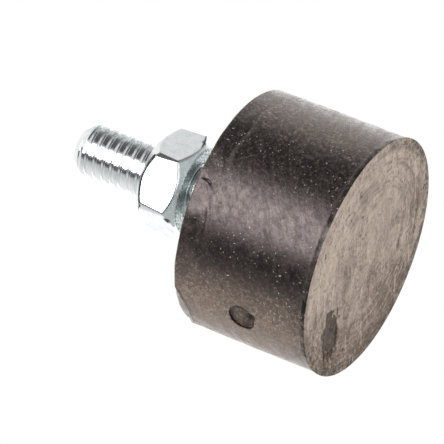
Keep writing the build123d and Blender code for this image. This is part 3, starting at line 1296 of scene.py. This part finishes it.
@dataclass
class Stud:
    """The headed bolt: head in the rubber, rolled thread and tapered tip.

    The taper starts steep and flattens: the crest radius less the full fall times the share of its
    length to the power of taper. The plating is bright above dull_rise, counted from the plate, and one
    side of the thread has a dull, darker patch: painted shade that stands for a darker reflection.
    """

    thread: Thread = field(default_factory=Thread)
    head_chamfer: float = 0.4
    tip_length: float = 1.2
    tip_radius: float = 2.05
    taper: float = 1.35
    dish: float = 0.08
    shaded_patch_side: float = 24.0
    dull_rise: tuple[float, float] = (4.6, 4.0)
    meridians: int = 112
    rows_per_pitch: int = 34
    span: Span = field(default_factory=lambda: Span.of("stud"))
    plate: Span = field(default_factory=lambda: Span.of("end_plate"))

    def build(self, finish: bpy.types.Material) -> bpy.types.Object:
        """Builds and dresses the stud.

        Args:
            finish: its material.

        Returns:
            The piece.
        """
        s, bevel, low, high = self.span, self.head_chamfer, self.plate.low, self.plate.high
        crest, depth = self.thread.crest, self.thread.depth
        angles = np.linspace(0, 2 * math.pi, self.meridians, endpoint=False)
        head = ((0.0, s.low), (s.radius - bevel, s.low), (s.radius, s.low + bevel), (s.radius, low))
        corners = corner_columns(self.meridians, (*head, (crest, low), (crest, high)))
        runs = [even(cells) for cells in (3, 1, 2, 3, 2)]
        base = rounded_path(corners, (0.1, 0.1, 0.1, 0.0), (2, 2, 2, 0), runs)

        # The thread runs in from a plain neck at the plate and is cut off by the tip's cone
        rows = int((s.high - high) / self.thread.pitch * self.rows_per_pitch)
        height = np.broadcast_to(np.linspace(high, s.high, rows + 1)[1:], (self.meridians, rows))
        start = ease(high + 0.3, high + 1.1, height)
        neck = crest - 0.5 * depth * ease(high, high + 0.3, height)
        radius = neck * (1 - start) + self.thread.radius(angles[:, None], height) * start
        share = np.clip((height - s.high + self.tip_length) / self.tip_length, 0.0, 1.0)
        radius = np.minimum(radius, crest - (crest - self.tip_radius) * share**self.taper)

        share = even(10)[1:]
        end_r = radius[:, -1:] * (1 - share)
        end_z = np.broadcast_to(s.high - self.dish * ease(0.0, 1.0, share), end_r.shape)
        radius = np.concatenate((base[..., 0], radius, end_r), axis=1)
        height = np.concatenate((base[..., 1], height, end_z), axis=1)
        points = swept(radius, height, angles[:, None])
        mesh = grid_mesh("threaded_stud", points, Side.POLE, np.zeros(points.shape[1] - 1, int))
        near_plate = 0.7 * ease(high + self.dull_rise[0], high + self.dull_rise[1], height)
        # Painted shade: a dull, darker patch on one side of the thread, standing for a darker reflection
        patch = 0.62 * bell(angles - math.radians(self.shaded_patch_side), 0.42)[:, None]
        cloudy = np.clip(0.9 + 0.5 * drift(points, 0.8, 41), 0, 1)
        add_mask(mesh, "dull", np.maximum(near_plate, patch * cloudy), Side.POLE)
        return finished(mesh, (finish,), "stud")


@dataclass
class HexNut:
    """The hexagon nut: six flats, tapered corners, a cone at each end, and a threaded bore.

    Each worn place on a chamfer's edge is its angle from +X in degrees, its half width round the
    edge in radians, its height in millimetres, and its strength. The lower end is dull inside
    dull_ring.
    """

    thread: Thread = field(default_factory=Thread)
    flats: float = 9.8
    corners_inner: float = 11.25
    corners_outer: float = 10.9
    face_radius: float = 4.5
    mouth_radius: float = 3.25
    chamfer_angle: float = 42.0
    corner_blend: float = 0.022
    worn_corner: float = -16.0
    outer_wear: tuple[tuple[float, ...], ...] = ((-20.0, 0.34, 0.26, 1.0), (-58.0, 0.60, 0.15, 1.0))
    inner_wear: tuple[tuple[float, ...], ...] = (
        (32.0, 0.065, 0.24, 1.0),
        (34.0, 0.26, 0.11, 0.9),
        (-85.0, 0.09, 0.24, 1.0),
    )
    dull_ring: tuple[float, float] = (5.2, 4.6)
    turn: float = 44.0
    clearance: float = 0.03
    sharp_angle: float = 34.0
    meridians: int = 276
    span: Span = field(default_factory=lambda: Span.of("hex_nut"))

    def hexagon(self, angle: Array) -> Array:
        """The plain hexagon: half the flats over the cosine of the angle from a flat's middle.

        Args:
            angle: in radians.

        Returns:
            The radius in millimetres.
        """
        sixth = math.pi / 3
        away = np.mod(angle - math.radians(self.turn), sixth) - sixth / 2
        return self.flats / 2 / np.cos(away)

    def turned(self, radius: Array, height: Array) -> Array:
        """Cuts the corners back to their taper.

        The corner radius runs in a straight line from the inner to the outer end. The two radii are
        blended as minus b times the logarithm of the sum of e to the minus radius over b.

        Args:
            radius: of the hexagon.
            height: of each point.

        Returns:
            The radius after turning.
        """
        s, b = self.span, self.corner_blend
        share = (height - s.low) / (s.high - s.low)
        limit = (self.corners_inner * (1 - share) + self.corners_outer * share) / 2
        return limit - b * np.log1p(np.exp((limit - radius) / b))

    def grime(self, angle: Array, height: Array, outside: int, drop: Array) -> Array:
        """Dark worn edge of the chamfers, thickest at one corner and fading round the arc.

        Along an edge the mask is a bell of the height from the edge. Its strength is a bell of the
        angle from the worn place. The outer edge is worn on one side of the nut only.

        Args:
            angle: meridian angles in radians.
            height: grid heights.
            outside: rows that lie on the outside of the nut.
            drop: depth of the chamfer at each meridian.

        Returns:
            The mask, shape of height.
        """
        s, mask = self.span, np.zeros_like(height)
        one_side = ease(-0.26, -0.30, wrapped(angle, 0.0))[:, None]
        edges = (s.high - drop, one_side, self.outer_wear), (s.low + drop, 1.0, self.inner_wear)
        for edge, share, places in edges:
            for place, reach, thick, strength in places:
                away = wrapped(angle, place)[:, None]
                band = bell(height - edge[:, None], thick * bell(away, 2 * reach) + 0.02)
                mask = np.maximum(mask, strength * (bell(away, reach) * share) * band)
        mask[:, outside:] = 0.0
        return ease(0.25, 0.75, mask)

    def build(self, finish: bpy.types.Material) -> bpy.types.Object:
        """Builds and dresses the nut.

        Args:
            finish: its material.

        Returns:
            The piece.
        """
        s, mouth, face = self.span, self.mouth_radius, self.face_radius
        sixth = graded(0.0, 60.0, self.meridians // 6, [(0.0, 5.0, 3.0), (60.0, 5.0, 3.0)])[:-1]
        angles = np.radians((self.turn + sixth[None, :] + 60.0 * np.arange(6)[:, None]).ravel())
        outer = self.hexagon(angles)
        drop = (outer - face) * math.tan(math.radians(self.chamfer_angle))
        lower = (mouth, s.low), (face, s.low), (outer, s.low + drop)
        upper = (outer, s.high - drop), (face, s.high), (mouth, s.high)
        worn = 0.28 + 0.30 * bell(wrapped(angles, self.worn_corner), 0.45)[:, None]
        trims = (0.08, 0.5 * worn, worn, 0.08)
        runs = [even(cells) for cells in (6, 10, 20, 10, 6)]
        path = rounded_path(corner_columns(len(angles), (*lower, *upper)), trims, (3, 5, 8, 3), runs)
        turned = self.turned(path[..., 0], path[..., 1])
        fall = np.linspace(s.high, s.low, 129)[1:-1]
        bore_z = np.broadcast_to(fall, (len(angles), len(fall)))
        cone = mouth - np.minimum(s.high - bore_z, bore_z - s.low)
        bore_r = np.maximum(self.thread.radius(angles[:, None], bore_z) + self.clearance, cone)
        radius = np.concatenate((turned, bore_r), axis=1)
        height = np.concatenate((path[..., 1], bore_z), axis=1)
        points = swept(radius, height, angles[:, None])
        mesh = grid_mesh("hexagon_nut", points, Side.LOOP, np.zeros(points.shape[1], int))
        on_end = ease(s.low + 0.12, s.low + 0.02, height) * ease(*self.dull_ring, radius)
        add_mask(mesh, "dull", on_end, Side.LOOP)
        add_mask(mesh, "grime", self.grime(angles, height, path.shape[1], drop), Side.LOOP)
        mesh.set_sharp_from_angle(angle=math.radians(self.sharp_angle))
        return finished(mesh, (finish,), "hex_nut")


# --------------------------------------------------------------------------- studio


@dataclass
class Studio:
    """White surround, soft key light, floor and camera.

    Angles are in degrees. The distances and the sizes of light and floor are in metres. The
    camera's axis passes aside of the body's middle, and the floor fades, in millimetres. Each band
    is where the surround changes, as the height of a direction's unit vector.
    """

    azimuth: float = 54.0
    elevation: float = -22.35
    roll: float = 21.5
    lens: float = 406.05
    distance: float = 0.5
    aside: tuple[float, float] = (7.99, 0.99)
    key_turn: float = 0.5
    key_elevation: float = 26.0
    key_distance: float = 0.5
    key_size: tuple[float, float] = (0.38, 0.31)
    key_radiance: float = 4.7
    ground_band: tuple[float, float] = (-0.02, -0.25)
    high_band: tuple[float, float] = (0.50, 0.59)
    top_band: tuple[float, float] = (0.985, 0.998)
    top_light: Colour = (1.2, 1.2, 1.2)
    white: Colour = (1.0, 1.0, 1.0)
    floor_half: float = 0.6
    floor_gap: float = 0.0001
    floor_fade: tuple[float, float] = (60.0, 260.0)
    floor_tones: tuple[Colour, Colour] = ((0.90, 0.90, 0.90), (0.93, 0.93, 0.93))

    def axes(self) -> tuple[Vector, Vector, Vector]:
        """Right, up and back of the camera, in the row frame.

        The mount's axis runs to the right and down by the roll: right is the axis's seen direction
        turned back by the roll, and up is at right angles to it.

        Returns:
            The three unit vectors.
        """
        a, e, roll = (math.radians(x) for x in (self.azimuth, self.elevation, self.roll))
        near, side = Vector((math.sin(a), -math.cos(a), 0.0)), Vector((-math.cos(a), -math.sin(a), 0.0))
        top = Vector((0.0, 0.0, 1.0))
        along = near * math.sin(e) - top * math.cos(e)
        right = along * math.cos(roll) - side * math.sin(roll)
        up = -along * math.sin(roll) - side * math.cos(roll)
        return right, up, near * math.cos(e) + top * math.sin(e)

    def camera(self, centre: Vector) -> None:
        """Sets the camera a fixed distance from the body, with its axis a little aside of it.

        Args:
            centre: the middle of the body.
        """
        right, up, back = self.axes()
        aim = centre - (right * self.aside[0] - up * self.aside[1]) * MM
        data = bpy.data.cameras.new("studio_camera")
        data.lens, data.sensor_width = self.lens, 36.0
        data.clip_start, data.clip_end = 0.01, 10.0
        made = bpy.data.objects.new("studio_camera", data)
        turn = Matrix((right, up, back)).transposed()
        made.matrix_world = Matrix.Translation(aim + back * self.distance) @ turn.to_4x4()
        bpy.context.scene.collection.objects.link(made)
        bpy.context.scene.camera = made

    def key_light(self, centre: Vector) -> None:
        """Hangs the soft box, which faces the body.

        It hangs so many degrees round from the camera's side and above the horizon. Its power is its
        radiance times pi times its area.

        Args:
            centre: what it faces.
        """
        data = bpy.data.lights.new("key_softbox", "AREA")
        width, height = self.key_size
        data.shape, data.size, data.size_y = "RECTANGLE", width, height
        data.energy = self.key_radiance * math.pi * width * height
        a, e = math.radians(self.azimuth - self.key_turn), math.radians(self.key_elevation)
        out = Vector((math.sin(a) * math.cos(e), -math.cos(a) * math.cos(e), math.sin(e)))
        made = bpy.data.objects.new("key_softbox", data)
        made.location = centre + out * self.key_distance
        made.rotation_mode = "QUATERNION"
        made.rotation_quaternion = out.to_track_quat("Z", "Y")
        made.visible_camera = False
        bpy.context.scene.collection.objects.link(made)

    def surround(self) -> None:
        """A world that is white to the camera and, to other rays, a white tent with a dark front.

        The low sky is dark at the front and beside the soft box. Over the soft box the sky is white
        again, apart from one upright slot that runs up nearly to the top. The ground is pale.
        """
        world = bpy.data.worlds.new("white_tent")
        bpy.context.scene.world = world
        world.use_nodes = True
        b = Bench(world.node_tree)
        spin = (0.0, 0.0, math.radians(90.0 - self.azimuth))
        ray = b.wire("ShaderNodeTexCoord", {}, "Generated")
        x, y, rise = b.split(b.wire("ShaderNodeMapping", {"Vector": ray, "Rotation": spin}))
        share = b.math("ARCTAN2", y, x) * (-0.5 / math.pi) + 0.5
        low_sky, high_sky, ground = (
            b.ramp(share, [(degrees / 360.0 + 0.5, level) for degrees, level in stops])
            for stops in (LOW_SKY, HIGH_SKY, GROUND)
        )
        room = b.coats(
            low_sky,
            (b.remap(rise, *self.high_band), high_sky),
            (b.remap(rise, *self.top_band), self.top_light),
            (b.remap(rise, *self.ground_band), ground),
            (b.wire("ShaderNodeLightPath", {}, "Is Camera Ray"), self.white),
        )
        b.end("ShaderNodeOutputWorld", b.wire("ShaderNodeBackground", {"Color": room}))

    def floor(self, low: float) -> None:
        """A pale sweep under the mount that fades into the white room, seen only from above.

        Args:
            low: its height in metres.
        """
        mesh = bpy.data.meshes.new("pale_floor")
        half = self.floor_half
        ends = ((-half, -half), (half, -half), (half, half), (-half, half))
        mesh.from_pydata([(x, y, low) for x, y in ends], [], [(0, 1, 2, 3)])
        material, b = new_material("pale_floor")
        place = b.object_mm()
        fade = b.remap(b.length(place), *self.floor_fade)
        pale = b.tint(b.noise(place, 0.8, 3.0), *self.floor_tones)
        cloth = b.wire("ShaderNodeBsdfDiffuse", {"Color": pale})
        clear = b.wire("ShaderNodeBsdfTransparent", {})
        facing = b.wire("ShaderNodeNewGeometry", {}, "Backfacing")
        mixed = b.wire("ShaderNodeMixShader", {0: fade | facing, 1: cloth, 2: clear})
        b.end("ShaderNodeOutputMaterial", mixed)
        mesh.materials.append(material)
        floor = bpy.data.objects.new("pale_floor", mesh)
        for ray in ("diffuse", "glossy", "transmission", "shadow"):
            setattr(floor, f"visible_{ray}", False)
        bpy.context.scene.collection.objects.link(floor)

    def build(self, body: Span) -> None:
        """Sets the room, the soft box, the floor and the camera.

        Args:
            body: the rubber cylinder's span, whose middle the soft box and the camera face.
        """
        bpy.context.scene.view_settings.view_transform = "Standard"
        centre = Vector((0.0, 0.0, (body.low + body.high) / 2 * MM))
        self.surround()
        self.key_light(centre)
        self.floor(body.low * MM - self.floor_gap)
        self.camera(centre)
        log.info("studio: camera at %s", tuple(round(x, 4) for x in bpy.context.scene.camera.location))


def main() -> None:
    """Builds the pieces in order, then the studio."""
    logging.basicConfig(level=logging.INFO, format="%(name)s: %(message)s")
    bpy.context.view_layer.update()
    zinc = ZincPlate().material()
    body = RubberBody()
    body.build(SatinRubber(), WornRubber())
    EndPlate().build(zinc)
    Stud().build(zinc)
    HexNut().build(zinc)
    Studio().build(body.span)


if __name__ == "__main__":
    main()
